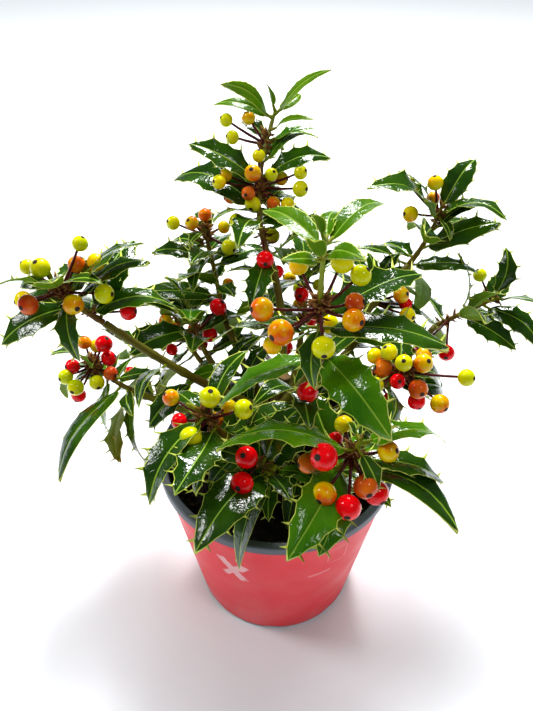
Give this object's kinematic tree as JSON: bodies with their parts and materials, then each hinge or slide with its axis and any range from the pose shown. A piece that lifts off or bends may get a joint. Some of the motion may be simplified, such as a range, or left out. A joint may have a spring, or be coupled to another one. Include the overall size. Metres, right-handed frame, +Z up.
{
  "type": "potted berry holly",
  "caption": "Young holly with spiny evergreen leaves and ripening berries, standing in a round tapered nursery pot filled with compost.",
  "frame": {"origin": "middle of the pot's flat underside", "axes": "+Z up, -Y towards the front of the plant, +X to its right as seen from the front"},
  "size_m": [0.267, 0.2138, 0.261],
  "materials": {
    "pot_plastic": "satin red printed wall on a dark grey moulded rim and inside",
    "potting_soil": "coarse dark compost",
    "bark": "smooth olive and brown young bark",
    "foliage": "waxy dark green leaves with paler margins, and glossy green, orange and red berries"
  },
  "bodies": {
    "root": {"pot": "pot_plastic", "soil": "potting_soil", "trunk": "bark", "leader_bough": "bark", "crown_front_bough": "bark", "north_west_bough": "bark", "west_bough": "bark", "west_low_bough": "bark", "south_west_bough": "bark", "front_low_bough": "bark", "south_east_bough": "bark", "east_bough": "bark", "north_east_bough": "bark", "far_east_bough": "bark", "mid_east_bough": "bark", "mid_west_bough": "bark", "north_bough": "bark", "north_west_low_bough": "bark", "leader_foliage": "foliage", "crown_front_foliage": "foliage", "north_west_foliage": "foliage", "west_foliage": "foliage", "west_low_foliage": "foliage", "south_west_foliage": "foliage", "front_low_foliage": "foliage", "south_east_foliage": "foliage", "east_foliage": "foliage", "north_east_foliage": "foliage", "far_east_foliage": "foliage", "mid_east_foliage": "foliage", "mid_west_foliage": "foliage", "north_foliage": "foliage", "north_west_low_foliage": "foliage"}
  },
  "joints": []
}
